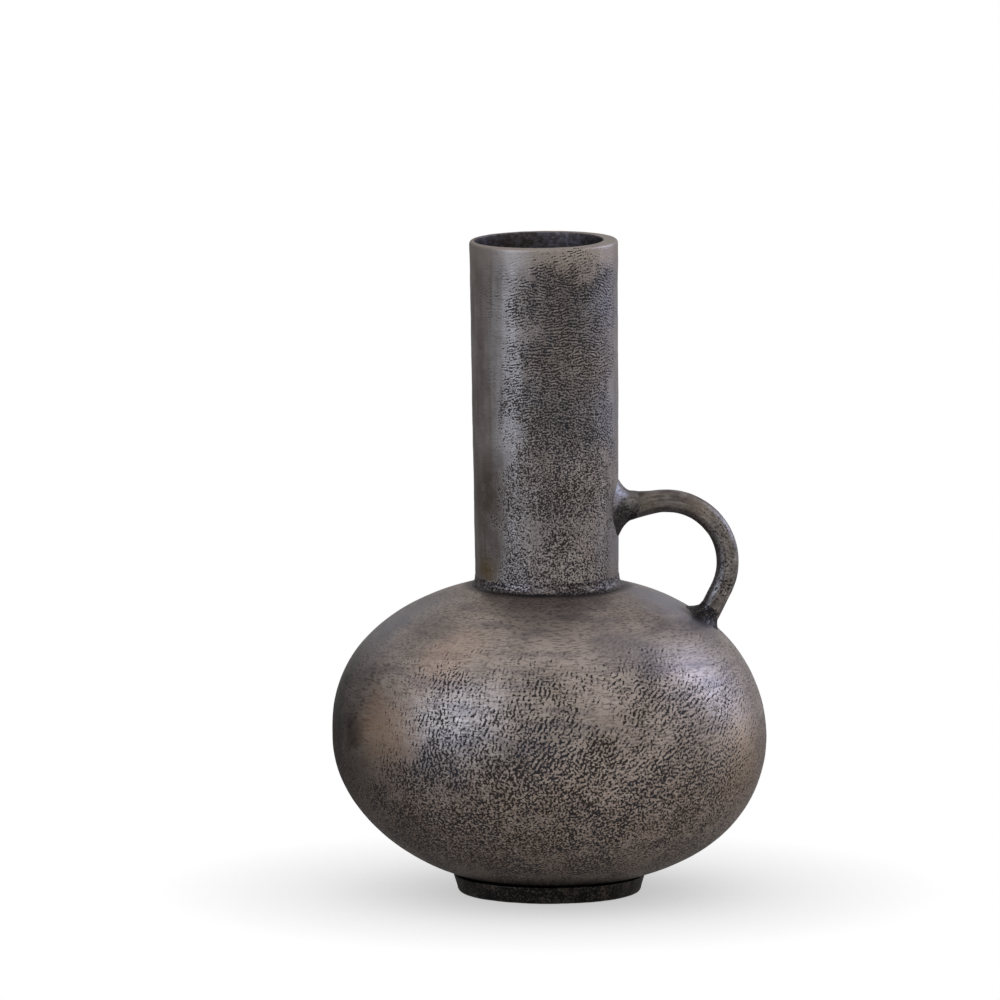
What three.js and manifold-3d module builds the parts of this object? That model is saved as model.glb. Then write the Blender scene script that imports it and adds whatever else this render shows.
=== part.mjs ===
// A cast metal vase: a round hollow body in two half shells, a thick leaning neck, a bent rod handle
// and a low foot ring, joined by runs of weld. Millimetres, +Z up, origin on the floor under the foot.
import * as THREE from "three";
import { mergeVertices } from "three/addons/utils/BufferGeometryUtils.js";
import Module from "manifold-3d";

const wasm = await Module();
wasm.setup();

const { degToRad, lerp } = THREE.MathUtils;

// Body: each half is a superellipse turned about the upright axis, and the bowl clears the floor
const bodyRadius = 110;
const domeRise = 81.5;
const domeRisePower = 2.23;
const domeSpreadPower = 2.18;
const bowlClearance = 4.3;
const bowlDrop = 75;
const bowlRisePower = 1.96;
const bowlSpreadPower = 2.34;
const shellWall = 4;
const equatorHeight = bowlClearance + bowlDrop;

// Hand finishing leaves the rings of the body a little to one side: the dome's to -X, the bowl's to +X
const domeDrift = 1.4;
const domeDriftPower = 1.25;
const bowlDrift = 2;
const bowlDriftPower = 2;

// Girth joint at the equator: a bevelled groove, filled flush outside, with a bead at its root inside
const grooveRootOpening = 2;
const grooveRootFace = 1;
const grooveHalfAngle = degToRad(30);
const rootBeadProud = 1.2;
const rootBeadLap = 1.2;

// Neck
const neckRootRadius = 36.3;
const neckRimRadius = 37.6;
const rimHeight = 332.3;
const neckRootOffset = -1.2;
const neckLean = degToRad(0.6);
const boreMouthRadius = 32.4;
const boreRootRadius = 31;
const boreOffset = -2.5;
const lipRound = 1.7;
const mouthRound = 0.7;
const neckWeldLeg = 3.4;

// Foot
const footTopRadius = 48.5;
const footBottomRadius = 46.6;
const footHeight = 8.8;
const footWall = 6;
const footEdgeRound = 2.4;
const footInnerChamfer = 1;
const footWeldLeg = 3.5;

// Handle: a straight lead out of the neck, a round loop, and a straight leg down to the shoulder.
// The loop's middle is set off from the neck's wall and above the neck's root.
const rodRadius = 5.8;
const rodFootRadius = 5.5;
const rodRootSwell = 2.6;
const rodSwellLength = 24;
const loopStandOff = 23.8;
const loopRise = 10.8;
const loopRadius = 31.1;
const leadSlope = degToRad(8.7);
const legSlope = degToRad(26.6);

// Weld collars at the two ends of the handle
const collarFillet = 6.2;
const collarLength = 9.5;
const collarThickness = 0.8;
const collarSpread = 0.5;
const legWeldFillet = 4.5;
const legWeldLength = 6;
const legWeldInset = 2;
const legWeldThickness = 0.8;

// Thickness of a fillet weld at its edges
const weldEdge = 0.9;

// Clearance between pieces, how far a blank runs on into the piece that trims it, and how close two
// corners are to count as one
const fitGap = 0.3;
const overrun = 8;
const mergeDistance = 1e-4;

// Facets
const bodySides = 56;
const neckSides = 48;
const rodSides = 18;
const collarSides = 30;
const outerSteps = 12;
const innerSteps = 8;
const roundSteps = 4;
const leadSteps = 6;
const loopSteps = 22;

const point = (r, z) => new THREE.Vector2(r, z);

// A closed solid from a closed geometry: shared vertices merged, collapsed triangles dropped
function solidOf(geometry) {
  const bare = new THREE.BufferGeometry();
  bare.setAttribute("position", geometry.getAttribute("position"));
  bare.setIndex(geometry.getIndex());
  const merged = mergeVertices(bare, mergeDistance);
  const corners = Array.from(merged.getIndex().array);
  const kept = [];
  for (let i = 0; i < corners.length; i += 3) {
    const triangle = corners.slice(i, i + 3);
    if (new Set(triangle).size === 3) {
      kept.push(...triangle);
    }
  }
  const mesh = new wasm.Mesh({
    numProp: 3,
    vertProperties: new Float32Array(merged.getAttribute("position").array),
    triVerts: new Uint32Array(kept),
  });
  return new wasm.Manifold(mesh);
}

// A profile of radius and height turned about +Z; it runs up the outside and down the inside or the axis
function revolve(profile, sides) {
  return new THREE.LatheGeometry(profile, sides).rotateX(Math.PI / 2);
}

// Points on a round edge of a profile, between two angles in degrees
function arc(centreR, centreZ, radius, startDegrees, endDegrees) {
  const points = [];
  for (let i = 0; i <= roundSteps; i++) {
    const angle = degToRad(lerp(startDegrees, endDegrees, i / roundSteps));
    points.push(point(centreR + radius * Math.cos(angle), centreZ + radius * Math.sin(angle)));
  }
  return points;
}

// The two halves of the body, each with its height over the equator at a radius, on a surface moved
// outwards by offset
const dome = {
  side: 1,
  heightAt(r, offset = 0) {
    const share = Math.min(1, r / (bodyRadius + offset));
    return (domeRise + offset) * (1 - share ** domeSpreadPower) ** (1 / domeRisePower);
  },
};
const bowl = {
  side: -1,
  heightAt(r, offset = 0) {
    const share = Math.min(1, r / (bodyRadius + offset));
    return -(bowlDrop + offset) * (1 - share ** bowlSpreadPower) ** (1 / bowlRisePower);
  },
};

// How far the body's ring at a height over the equator lies to one side
function ringShift(z) {
  if (z > 0) {
    return -domeDrift * Math.sin(Math.PI * Math.min(1, z / domeRise) ** domeDriftPower);
  }
  return bowlDrift * Math.sin(Math.PI * Math.min(1, -z / bowlDrop) ** bowlDriftPower);
}

function shiftRings(geometry) {
  const positions = geometry.getAttribute("position");
  for (let i = 0; i < positions.count; i++) {
    positions.setX(i, positions.getX(i) + ringShift(positions.getZ(i) - equatorHeight));
  }
  return geometry;
}

// A half's outline from its pole towards the equator, as far as a given height over the equator
function halfOutline(half, offset, steps, stopHeight) {
  const points = [];
  for (let i = 0; i < steps; i++) {
    const r = (bodyRadius + offset) * Math.sin((i / steps) * (Math.PI / 2));
    const z = half.heightAt(r, offset);
    if (Math.abs(z) > stopHeight) {
      points.push(point(r, equatorHeight + z));
    }
  }
  return points;
}

// Turns a half's profile, written from the outer pole, the right way round for its side
function revolveHalf(half, profile) {
  const ordered = half.side > 0 ? profile.reverse() : profile;
  return solidOf(shiftRings(revolve(ordered, bodySides)));
}

// Half widths of the girth groove at its root and at the outer surface
const grooveRoot = grooveRootOpening / 2;
const grooveMouth = grooveRoot + (shellWall - grooveRootFace) * Math.tan(grooveHalfAngle);
const innerRadius = bodyRadius - shellWall;

// One half shell with its bevelled rim
function halfShell(half) {
  return revolveHalf(half, [
    ...halfOutline(half, 0, outerSteps, grooveMouth),
    point(bodyRadius, equatorHeight + half.side * grooveMouth),
    point(innerRadius + grooveRootFace, equatorHeight + half.side * grooveRoot),
    point(innerRadius, equatorHeight + half.side * grooveRoot),
    ...halfOutline(half, -shellWall, innerSteps, grooveRoot).reverse(),
  ]);
}

// One half filled in, its surface moved outwards by the fitting gap, to trim what stands on it
function halfTrimmer(half) {
  return revolveHalf(half, [
    ...halfOutline(half, fitGap, outerSteps, 0),
    point(bodyRadius + fitGap, equatorHeight),
    point(0, equatorHeight),
  ]);
}

// Weld that fills the groove: flush outside, a low bead over both edges inside
function girthWeld() {
  const rootHalf = grooveRoot - fitGap;
  const mouthHalf = grooveMouth - fitGap / Math.cos(grooveHalfAngle);
  const upperSide = [
    point(bodyRadius, mouthHalf),
    point(innerRadius + grooveRootFace, rootHalf),
    point(innerRadius - fitGap, rootHalf),
    point(innerRadius - fitGap, rootHalf + rootBeadLap),
  ];
  const lowerSide = upperSide.map((p) => point(p.x, -p.y)).reverse();
  const section = [...upperSide, point(innerRadius - rootBeadProud, 0), ...lowerSide, upperSide[0]];
  const placed = section.map((p) => point(p.x, equatorHeight + p.y));
  return solidOf(shiftRings(revolve(placed, bodySides)));
}

// The neck's own frame: origin where its root meets the dome, +Z up its leaning axis
const neckRootHeight = equatorHeight + dome.heightAt(neckRootRadius);
const neckLength = (rimHeight - neckRootHeight) / Math.cos(neckLean);
const neckFrame = new THREE.Matrix4()
  .makeTranslation(neckRootOffset, 0, neckRootHeight)
  .multiply(new THREE.Matrix4().makeRotationY(-neckLean));

function neckBlank(offset) {
  const rimRadius = neckRimRadius + offset;
  const profile = [
    point(0, -overrun),
    point(neckRootRadius + offset, -overrun),
    point(neckRootRadius + offset, 0),
    ...arc(rimRadius - lipRound, neckLength - lipRound, lipRound, 0, 90),
    point(0, neckLength),
  ];
  return solidOf(revolve(profile, neckSides).applyMatrix4(neckFrame));
}

// The bore runs from the rim down through the dome, off the neck's middle, with the draft of its core and
// a rounded mouth
function boreBlank() {
  const bottom = -shellWall - overrun;
  const profile = [
    point(0, bottom),
    point(boreRootRadius, bottom),
    point(boreRootRadius, 0),
    ...arc(boreMouthRadius + mouthRound, neckLength - mouthRound, mouthRound, 180, 90),
    point(boreMouthRadius + mouthRound, neckLength + overrun),
    point(0, neckLength + overrun),
  ];
  const aside = new THREE.Matrix4().makeTranslation(boreOffset, 0, 0);
  return solidOf(revolve(profile, neckSides).applyMatrix4(aside).applyMatrix4(neckFrame));
}

// Section of a hollow-faced weld in a corner at radius r and height z, with some metal behind it to
// trim: facing 1 lies outside a wall on a floor, facing -1 inside a wall under a ceiling
function filletSection(r, z, leg, facing) {
  const behind = -2 * weldEdge;
  const section = [
    point(behind, behind),
    point(leg, behind),
    ...arc(leg, leg, leg - weldEdge, 270, 180),
    point(behind, leg),
    point(behind, behind),
  ];
  return section.map((p) => point(r + facing * p.x, z + facing * p.y));
}

function neckWeldBlank() {
  const toeDrop = dome.heightAt(neckRootRadius + neckWeldLeg) - dome.heightAt(neckRootRadius);
  const section = filletSection(neckRootRadius, toeDrop, neckWeldLeg, 1);
  return solidOf(revolve(section, neckSides).applyMatrix4(neckFrame));
}

// Foot ring: a rounded bottom edge, a wall that widens upwards and a flat top that the bowl then trims
const footInnerRadius = footBottomRadius - footWall;

function footBlank(offset) {
  const inner = footInnerRadius - offset;
  const profile = [
    point(inner, footInnerChamfer),
    point(inner + footInnerChamfer, 0),
    ...arc(footBottomRadius - footEdgeRound, footEdgeRound, footEdgeRound, 270, 360),
    point(footTopRadius, footHeight),
    point(inner, footHeight),
    point(inner, footInnerChamfer),
  ];
  return solidOf(revolve(profile, bodySides));
}

function footWeldBlank() {
  const corner = equatorHeight + bowl.heightAt(footInnerRadius);
  return solidOf(revolve(filletSection(footInnerRadius, corner, footWeldLeg, -1), bodySides));
}

// Handle route in the plane y = 0, with x across and y of each point as its height
const neckWallX = neckRootOffset + neckRootRadius;
const loopCentre = point(neckWallX + loopStandOff, neckRootHeight + loopRise);
const leadAngle = Math.PI / 2 + leadSlope;

function onLoop(angle) {
  return point(Math.cos(angle), Math.sin(angle)).multiplyScalar(loopRadius).add(loopCentre);
}

const leadEnd = onLoop(leadAngle);
const leadDirection = point(Math.cos(leadSlope), Math.sin(leadSlope));
const leadLength = (leadEnd.x - neckWallX) / leadDirection.x;
const leadStart = leadEnd.clone().addScaledVector(leadDirection, -leadLength);
const legDirection = point(-Math.sin(legSlope), -Math.cos(legSlope));

// Where the leg's axis meets the dome
function findLegFoot() {
  const foot = onLoop(-legSlope);
  const step = fitGap / 2;
  while (foot.y - equatorHeight > dome.heightAt(foot.x - ringShift(foot.y - equatorHeight))) {
    foot.addScaledVector(legDirection, step);
  }
  return foot;
}
const legFoot = findLegFoot();

function handleRoute() {
  const route = [leadStart.clone().addScaledVector(leadDirection, -overrun)];
  for (let i = 0; i < leadSteps; i++) {
    route.push(leadStart.clone().lerp(leadEnd, i / leadSteps));
  }
  for (let i = 0; i <= loopSteps; i++) {
    route.push(onLoop(lerp(leadAngle, -legSlope, i / loopSteps)));
  }
  route.push(legFoot.clone().addScaledVector(legDirection, overrun));
  return route;
}

// The rod is thick where it leaves the neck's wall and thins slowly towards its foot
function rodSwell(fromWall) {
  return rodRootSwell * Math.max(0, 1 - Math.max(0, fromWall) / rodSwellLength) ** 2;
}

function handleBlank(offset) {
  const route = handleRoute();
  const lengths = [0];
  for (let i = 1; i < route.length; i++) {
    lengths.push(lengths[i - 1] + route[i].distanceTo(route[i - 1]));
  }
  const corners = [];
  route.forEach((here, i) => {
    const before = route[Math.max(0, i - 1)];
    const after = route[Math.min(route.length - 1, i + 1)];
    const along = after.clone().sub(before).normalize();
    const plainRadius = lerp(rodRadius, rodFootRadius, lengths[i] / lengths.at(-1));
    const radius = plainRadius + rodSwell(lengths[i] - overrun) + offset;
    for (let k = 0; k < rodSides; k++) {
      const angle = (2 * Math.PI * k) / rodSides;
      const across = radius * Math.cos(angle);
      corners.push(here.x - along.y * across, radius * Math.sin(angle), here.y + along.x * across);
    }
  });
  return solidOf(closedTube(corners, route.length));
}

// Joins rings of corners into a tube with flat ends
function closedTube(corners, rings) {
  const faces = [];
  for (let i = 0; i + 1 < rings; i++) {
    for (let k = 0; k < rodSides; k++) {
      const a = i * rodSides + k;
      const b = i * rodSides + ((k + 1) % rodSides);
      faces.push(a, a + rodSides, b, b, a + rodSides, b + rodSides);
    }
  }
  const last = (rings - 1) * rodSides;
  for (let k = 1; k + 1 < rodSides; k++) {
    faces.push(0, k, k + 1);
    faces.push(last, last + k + 1, last + k);
  }
  const geometry = new THREE.BufferGeometry();
  geometry.setAttribute("position", new THREE.Float32BufferAttribute(corners, 3));
  return geometry.setIndex(faces);
}

// A weld collar round the rod: flared foot, hollow fillet, short straight sleeve. Its rings lie parallel
// to the wall that it stands on and their middles follow the rod's axis; the metal behind the wall is
// there to be trimmed. Inset moves it along the wall, up the slope.
function collarBlank(tipRadius, fillet, length, place, direction, wallNormal, inset) {
  const footRadius = tipRadius + fillet;
  const profile = [
    point(0, -overrun),
    point(footRadius + collarSpread * overrun, -overrun),
    ...arc(footRadius, fillet, fillet, 270, 180),
    point(tipRadius, length),
    point(0, length),
  ];
  const rise = direction.clone().divideScalar(direction.dot(wallNormal));
  const frame = new THREE.Matrix4().makeBasis(
    new THREE.Vector3(wallNormal.y, 0, -wallNormal.x),
    new THREE.Vector3(0, 1, 0),
    new THREE.Vector3(rise.x, 0, rise.y),
  );
  frame.setPosition(place.x, 0, place.y);
  const aside = new THREE.Matrix4().makeTranslation(-inset, 0, 0);
  return solidOf(revolve(profile, collarSides).applyMatrix4(aside).applyMatrix4(frame));
}

function neckCollarBlank() {
  const wallNormal = point(Math.cos(neckLean), Math.sin(neckLean));
  const tipRadius = rodRadius + rodSwell(collarLength) + collarThickness;
  return collarBlank(tipRadius, collarFillet, collarLength, leadStart, leadDirection, wallNormal, 0);
}

function legCollarBlank() {
  const near = dome.heightAt(legFoot.x - rodFootRadius);
  const far = dome.heightAt(legFoot.x + rodFootRadius);
  const wallNormal = point(near - far, 2 * rodFootRadius).normalize();
  const upLeg = legDirection.clone().negate();
  const tipRadius = rodFootRadius + legWeldThickness;
  return collarBlank(tipRadius, legWeldFillet, legWeldLength, legFoot, upLeg, wallNormal, legWeldInset);
}

// Pieces, each trimmed by its neighbours grown by the fitting gap
const domeTrimmer = halfTrimmer(dome);
const bowlTrimmer = halfTrimmer(bowl);
const neckTrimmer = neckBlank(fitGap);
const rodTrimmer = handleBlank(fitGap);
const bore = boreBlank();

const solids = {
  lower_bowl: halfShell(bowl),
  girth_weld: girthWeld(),
  upper_dome: halfShell(dome).subtract(bore),
  neck_tube: neckBlank(0).subtract(bore).subtract(domeTrimmer),
  neck_weld: neckWeldBlank().subtract(neckTrimmer).subtract(domeTrimmer),
  foot_ring: footBlank(0).subtract(bowlTrimmer),
  foot_weld: footWeldBlank().subtract(footBlank(fitGap)).subtract(bowlTrimmer),
  handle_rod: handleBlank(0).subtract(neckTrimmer).subtract(domeTrimmer),
  handle_neck_weld: neckCollarBlank().subtract(rodTrimmer).subtract(neckTrimmer),
  handle_shoulder_weld: legCollarBlank().subtract(rodTrimmer).subtract(domeTrimmer),
};

// Finishes: brown-grey patina on the castings, darker oxide on the welds, nearly black under the foot
const finishes = {
  casting: { color: 0x6e665f, roughness: 0.45, metalness: 0.85 },
  weld: { color: 0x4a4544, roughness: 0.6, metalness: 0.8 },
  foot: { color: 0x2b2826, roughness: 0.6, metalness: 0.7 },
};
const finishOf = {
  girth_weld: "casting",
  neck_weld: "weld",
  foot_ring: "foot",
  foot_weld: "foot",
  handle_neck_weld: "weld",
  handle_shoulder_weld: "weld",
};

function meshOf(name, solid) {
  const { vertProperties, triVerts } = solid.getMesh();
  const geometry = new THREE.BufferGeometry();
  geometry.setAttribute("position", new THREE.Float32BufferAttribute(vertProperties, 3));
  geometry.setIndex(new THREE.Uint32BufferAttribute(triVerts, 1));
  geometry.computeVertexNormals();
  const finish = finishes[finishOf[name] ?? "casting"];
  const mesh = new THREE.Mesh(geometry, new THREE.MeshStandardMaterial(finish));
  mesh.name = name;
  return mesh;
}

const vase = new THREE.Group();
vase.name = "metal_vase";
for (const [name, solid] of Object.entries(solids)) {
  vase.add(meshOf(name, solid));
}

export default vase;
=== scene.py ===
# A cast metal vase with a looped rod handle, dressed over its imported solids. Sizes are in millimetres.
import math
from functools import partial

import bpy
from mathutils import Matrix, Vector


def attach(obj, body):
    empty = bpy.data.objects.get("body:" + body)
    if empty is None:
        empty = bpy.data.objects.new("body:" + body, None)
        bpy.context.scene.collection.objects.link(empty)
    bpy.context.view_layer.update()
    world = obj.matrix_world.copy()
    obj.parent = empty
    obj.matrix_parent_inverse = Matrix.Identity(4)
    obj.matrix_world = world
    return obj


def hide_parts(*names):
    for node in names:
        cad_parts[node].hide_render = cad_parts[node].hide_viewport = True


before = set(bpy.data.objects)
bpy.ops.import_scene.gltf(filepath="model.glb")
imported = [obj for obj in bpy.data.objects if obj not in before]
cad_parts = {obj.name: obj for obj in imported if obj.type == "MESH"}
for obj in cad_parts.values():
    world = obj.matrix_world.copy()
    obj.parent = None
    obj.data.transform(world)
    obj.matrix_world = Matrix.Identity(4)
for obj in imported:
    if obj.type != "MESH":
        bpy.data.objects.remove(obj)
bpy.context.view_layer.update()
mm = 0.001
seed = 7
up = Vector((0, 0, 1))
print("frame loaded:", len(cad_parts), "solids")


def linear(hexColour):  # sRGB hex to linear colour
    channels = [int(hexColour[i:i + 2], 16) / 255 for i in (1, 3, 5)]
    return [c / 12.92 if c <= 0.04045 else ((c + 0.055) / 1.055) ** 2.4 for c in channels] + [1]


# Node types that are used often, and the setting of a range that starts and ends softly. A mix node takes
# numbers at inputs 2 and 3 and colours at 6 and 7, and gives a colour at output 2
scalarMath = "ShaderNodeMath"
vectorMath = "ShaderNodeVectorMath"
mapRange = "ShaderNodeMapRange"
softEnds = {"interpolation_type": "SMOOTHSTEP"}


def addNode(tree, kind, settings=None, inputs=None):
    # settings may be an operation's name alone; inputs are values, sockets, or nodes for their first output
    node = tree.nodes.new(kind)
    if isinstance(settings, str):
        settings = {"operation": settings}
    for name, value in (settings or {}).items():
        if name == "stops":  # a ramp's places and colours
            ramp = node.color_ramp.elements
            while len(ramp) < len(value):
                ramp.new(1)
            for element, (place, colour) in zip(ramp, value):
                element.position = place
                element.color = colour
        else:
            setattr(node, name, value)
    for key, value in (inputs or {}).items():
        if isinstance(value, bpy.types.Node):
            value = value.outputs[0]
        if isinstance(value, bpy.types.NodeSocket):
            tree.links.new(value, node.inputs[key])
        else:
            node.inputs[key].default_value = value
    return node


def openShader(owner):  # the empty node tree of a material or a world
    owner.use_nodes = True
    owner.node_tree.nodes.clear()
    return owner.node_tree


def addObject(name, data):
    thing = bpy.data.objects.new(name, data)
    bpy.context.scene.collection.objects.link(thing)
    return thing


def ringPoints(radius, height, count):  # points round the upright axis
    turns = [2 * math.pi * i / count for i in range(count)]
    return [(radius * math.cos(turn), radius * math.sin(turn), height) for turn in turns]


# Geometry Nodes: the relief of a sand casting, turned castings, runs along a path

reliefInputs = (
    ("Wave Depth", "NodeSocketFloat", 0.3 * mm),
    ("Wave Size", "NodeSocketFloat", 30 * mm),
    ("Lump Depth", "NodeSocketFloat", 0.1 * mm),
    ("Lump Size", "NodeSocketFloat", 6 * mm),
    ("Seed", "NodeSocketFloat", 0.0),
)
reliefLevel = 0.62  # noise value that leaves the skin where it is, so most of the relief goes inwards
seamReach = 0.001  # closes the seam of a turned sheet


def openTree(name, inputs, outputKind="NodeSocketGeometry"):
    tree = bpy.data.node_groups.new(name, "GeometryNodeTree")
    for label, kind, value in inputs:
        socket = tree.interface.new_socket(label, in_out="INPUT", socket_type=kind)
        if value is not None:
            socket.default_value = value
    tree.interface.new_socket("Result", in_out="OUTPUT", socket_type=outputKind)
    return tree, addNode(tree, "NodeGroupInput").outputs


# Slow waves left by the mould and short lumps left by the sand, as a push along the normal
reliefTree, given = openTree("castRelief", reliefInputs, "NodeSocketVector")
place = addNode(reliefTree, "GeometryNodeInputPosition")
normal = addNode(reliefTree, "GeometryNodeInputNormal")
push = 0.0
for depth, size in (("Wave Depth", "Wave Size"), ("Lump Depth", "Lump Size")):
    scale = addNode(reliefTree, scalarMath, "DIVIDE", {0: 1.0, 1: given[size]})
    bumps = addNode(reliefTree, "ShaderNodeTexNoise", {"noise_dimensions": "4D"},
                    {"Vector": place, "W": given["Seed"], "Scale": scale, "Detail": 2.0})
    centred = addNode(reliefTree, scalarMath, "SUBTRACT", {0: bumps, 1: reliefLevel})
    push = addNode(reliefTree, scalarMath, "MULTIPLY_ADD", {0: centred, 1: given[depth], 2: push})
along = addNode(reliefTree, vectorMath, "SCALE", {0: normal, "Scale": push})
addNode(reliefTree, "NodeGroupOutput", None, {0: along})


def closeTree(tree, given, geometry):  # relief, smooth shading, one real mesh, its material
    relief = addNode(tree, "GeometryNodeGroup", {"node_tree": reliefTree},
                     {label: given[label] for label, kind, value in reliefInputs})
    pushed = addNode(tree, "GeometryNodeSetPosition", None, {"Geometry": geometry, "Offset": relief})
    smooth = addNode(tree, "GeometryNodeSetShadeSmooth", None, {"Geometry": pushed})
    real = addNode(tree, "GeometryNodeRealizeInstances", None, {"Geometry": smooth})
    dressed = addNode(tree, "GeometryNodeSetMaterial", None,
                      {"Geometry": real, "Material": given["Material"]})
    addNode(tree, "NodeGroupOutput", None, {0: dressed})


# A casting turned about the upright axis. Each point of the profile is a ring: its x is the radius,
# its y how far the ring lies to one side, its z the height
turnedTree, given = openTree("turnedCasting", (
    ("Geometry", "NodeSocketGeometry", None),
    ("Sides", "NodeSocketInt", 256),
    ("Material", "NodeSocketMaterial", None),
) + reliefInputs)
profileSize = addNode(turnedTree, "GeometryNodeAttributeDomainSize", None, {0: given["Geometry"]})
rings = profileSize.outputs["Point Count"]
columns = addNode(turnedTree, scalarMath, "ADD", {0: given["Sides"], 1: 1.0})
sheet = addNode(turnedTree, "GeometryNodeMeshGrid", None,
                {"Size X": 1.0, "Size Y": 1.0, "Vertices X": rings, "Vertices Y": columns})
place = addNode(turnedTree, "GeometryNodeInputPosition")
onSheet = addNode(turnedTree, "ShaderNodeSeparateXYZ", None, {0: place}).outputs
lastRing = addNode(turnedTree, scalarMath, "SUBTRACT", {0: rings, 1: 1.0})
shareUp = addNode(turnedTree, scalarMath, "ADD", {0: onSheet["X"], 1: 0.5})
ringPlace = addNode(turnedTree, scalarMath, "MULTIPLY", {0: shareUp, 1: lastRing})
ring = addNode(turnedTree, scalarMath, "ROUND", {0: ringPlace})
onProfile = addNode(turnedTree, "GeometryNodeSampleIndex", {"data_type": "FLOAT_VECTOR"},
                    {"Geometry": given["Geometry"], "Value": place, "Index": ring})
shape = addNode(turnedTree, "ShaderNodeSeparateXYZ", None, {0: onProfile}).outputs
turn = addNode(turnedTree, scalarMath, "MULTIPLY", {0: onSheet["Y"], 1: -2 * math.pi})
cosine = addNode(turnedTree, scalarMath, "COSINE", {0: turn})
sine = addNode(turnedTree, scalarMath, "SINE", {0: turn})
acrossX = addNode(turnedTree, scalarMath, "MULTIPLY_ADD", {0: shape["X"], 1: cosine, 2: shape["Y"]})
acrossY = addNode(turnedTree, scalarMath, "MULTIPLY", {0: shape["X"], 1: sine})
turned = addNode(turnedTree, "ShaderNodeCombineXYZ", None, {"X": acrossX, "Y": acrossY, "Z": shape["Z"]})
rolled = addNode(turnedTree, "GeometryNodeSetPosition", None, {"Geometry": sheet, "Position": turned})
closed = addNode(turnedTree, "GeometryNodeMergeByDistance", None,
                 {"Geometry": rolled, "Distance": seamReach * mm})
closeTree(turnedTree, given, closed)

# A round run along a path, its thickness taken from the path's own runRadius, with the ripples of a weld
runTree, given = openTree("runAlongPath", (
    ("Geometry", "NodeSocketGeometry", None),
    ("Step", "NodeSocketFloat", 1 * mm),
    ("Sides", "NodeSocketInt", 32),
    ("Ripple Spacing", "NodeSocketFloat", 3 * mm),
    ("Ripple Depth", "NodeSocketFloat", 0.0),
    ("Material", "NodeSocketMaterial", None),
) + reliefInputs)
path = addNode(runTree, "GeometryNodeMeshToCurve", None, {"Mesh": given["Geometry"]})
fine = addNode(runTree, "GeometryNodeResampleCurve", {"mode": "LENGTH"},
               {"Curve": path, "Length": given["Step"]})
length = addNode(runTree, "GeometryNodeSplineParameter").outputs["Length"]
beat = addNode(runTree, scalarMath, "DIVIDE", {0: length, 1: given["Ripple Spacing"]})
phase = addNode(runTree, scalarMath, "MULTIPLY", {0: beat, 1: math.pi})
wave = addNode(runTree, scalarMath, "SINE", {0: phase})
crest = addNode(runTree, scalarMath, "ABSOLUTE", {0: wave})
radius = addNode(runTree, "GeometryNodeInputNamedAttribute", {"data_type": "FLOAT"}, {"Name": "runRadius"})
thick = addNode(runTree, scalarMath, "MULTIPLY_ADD", {0: crest, 1: given["Ripple Depth"], 2: radius})
section = addNode(runTree, "GeometryNodeCurvePrimitiveCircle", None,
                  {"Resolution": given["Sides"], "Radius": 1.0})
swept = addNode(runTree, "GeometryNodeCurveToMesh", None,
                {"Curve": fine, "Profile Curve": section, "Scale": thick, "Fill Caps": True})
closeTree(runTree, given, swept)

# Relief alone, for a mesh that is already shaped
skinTree, given = openTree("castSkin", (
    ("Geometry", "NodeSocketGeometry", None),
    ("Material", "NodeSocketMaterial", None),
) + reliefInputs)
closeTree(skinTree, given, given["Geometry"])


def linePoints(name, points, loop=False, radii=None):  # a mesh of one line, in metres
    mesh = bpy.data.meshes.new(name)
    edges = [(i, i + 1) for i in range(len(points) - 1)]
    if loop:
        edges.append((len(points) - 1, 0))
    mesh.from_pydata([Vector(p) * mm for p in points], edges, [])
    if radii:
        attribute = mesh.attributes.new("runRadius", "FLOAT", "POINT")
        attribute.data.foreach_set("value", [r * mm for r in radii])
    return mesh


def reliefOf(sizes, seedStep):  # a piece's own relief, as inputs of its tree
    return {
        "Seed": seed + seedStep,
        "Wave Depth": sizes["waveDepth"] * mm, "Wave Size": sizes["waveSize"] * mm,
        "Lump Depth": sizes["lumpDepth"] * mm, "Lump Size": sizes["lumpSize"] * mm,
    }


def makePiece(name, mesh, tree, values, nodes, move=Matrix()):
    piece = addObject(name, mesh)
    modifier = piece.modifiers.new(tree.name, "NODES")
    modifier.node_group = tree
    for item in tree.interface.items_tree:
        if item.in_out == "INPUT" and item.name in values:
            modifier[item.identifier] = values[item.name]
    graph = bpy.context.evaluated_depsgraph_get()
    final = bpy.data.meshes.new_from_object(piece.evaluated_get(graph))
    piece.modifiers.clear()
    final.transform(move)
    piece.data = final
    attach(piece, "root")
    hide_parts(*nodes)
    print("piece", name, len(final.polygons), "faces")


def weldBead(name, bead, radius, height, material, seedStep, node):  # a rippled bead round the axis
    path = linePoints(name + "Path", ringPoints(radius, height, bead["points"]), True,
                      [bead["beadRadius"]] * bead["points"])
    makePiece(name, path, runTree,
              {"Step": bead["step"] * mm, "Sides": bead["sides"], "Material": material,
               "Ripple Spacing": bead["rippleSpacing"] * mm, "Ripple Depth": bead["rippleDepth"] * mm}
              | reliefOf(bead, seedStep),
              (node,))


# Materials

patina = {  # what all six metals have in common
    "cloudShift": (37, 61, 89),  # from one cloud to the next
    # noise values at the two ends of what a pattern does
    "cloudRange": (0.3, 0.7), "patchRange": (0.35, 0.65), "grainRange": (0.27, 0.73),
    "toneRange": (0.32, 0.68), "oxideRange": (0.42, 0.58), "hollowRange": (0.42, 0.62),
    "spotRagged": 0.6, "spotFull": 0.3, "spotGone": 1.3,  # shares of a spot's reach
    "strokesPerCell": 2.0,
    "ridgeRange": (-0.08, -0.4),  # how far below the edge of a stroke the metal is bright
    "facingIn": (-3.0, -16.0),  # how far a face looks at the axis, in millimetres
    "waxRoughness": 0.35, "specular": 0.25,
}


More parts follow.
